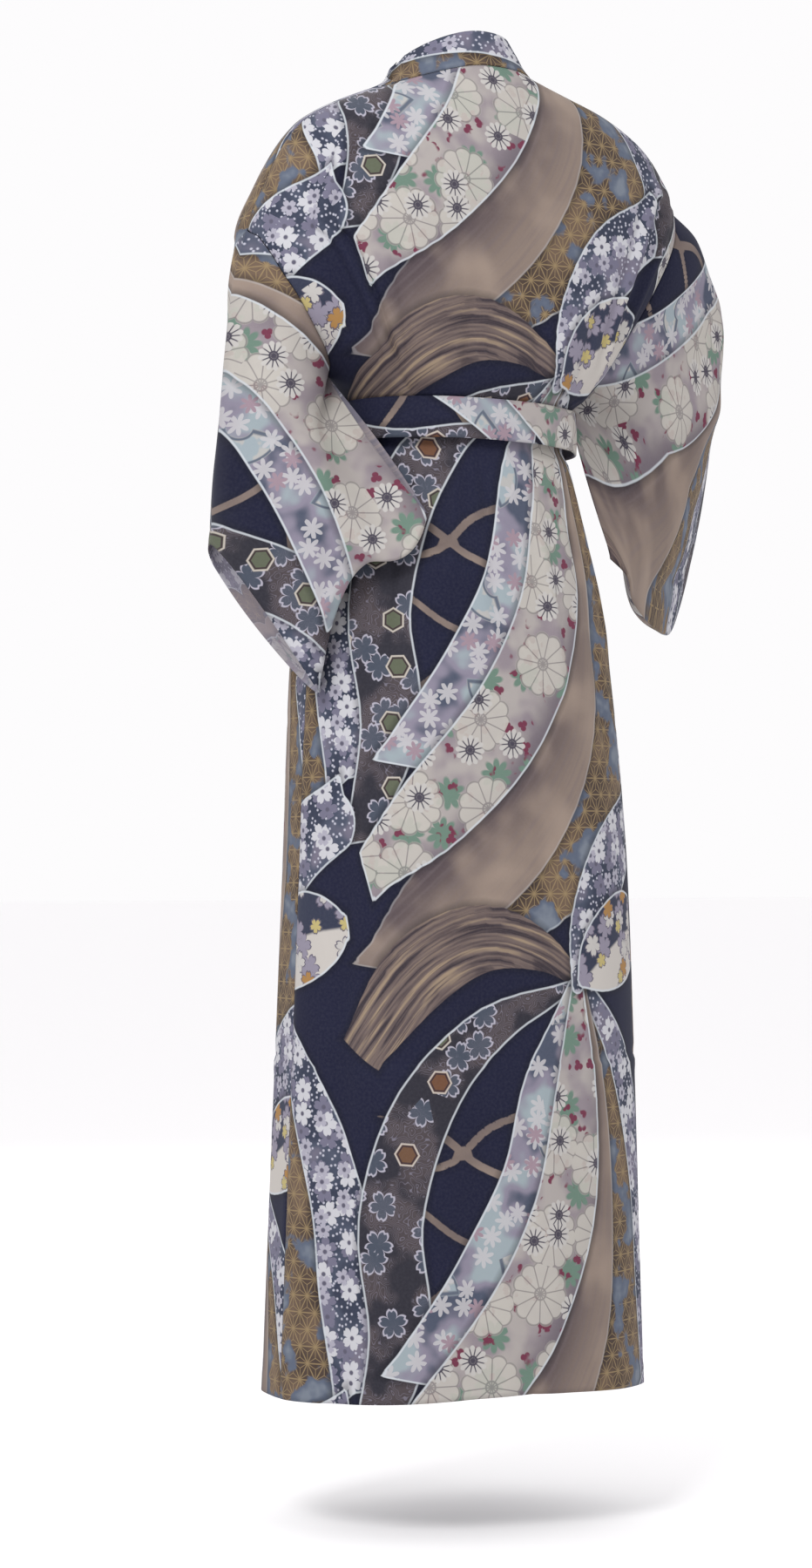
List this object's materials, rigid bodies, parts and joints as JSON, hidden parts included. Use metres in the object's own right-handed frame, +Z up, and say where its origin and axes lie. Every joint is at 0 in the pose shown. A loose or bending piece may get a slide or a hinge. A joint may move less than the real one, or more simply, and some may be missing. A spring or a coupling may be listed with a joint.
{
  "type": "kimono with belt",
  "caption": "Ankle-length kimono in worn form with wide open sleeves, standing collar band and a narrow cloth belt tied in front.",
  "frame": {"origin": "middle of the neck at the height of the back neck seam, where the wearer holds the garment up", "axes": "+Z up along the wearer, -Y the way the wearer faces, +X the wearer's left"},
  "size_m": [0.6698, 0.3246, 1.4104],
  "materials": {
    "cloth": "printed cotton",
    "collar_cloth": "printed cotton, folded band",
    "belt_cloth": "printed cotton, folded band"
  },
  "bodies": {
    "root": {"back": "cloth", "front_left": "cloth", "front_right": "cloth", "overlap_left": "cloth", "overlap_right": "cloth", "collar": "collar_cloth", "sleeve_left": "cloth", "sleeve_right": "cloth", "belt_band": "belt_cloth", "belt_knot": "belt_cloth", "belt_end_left": "belt_cloth", "belt_end_right": "belt_cloth"}
  },
  "joints": []
}
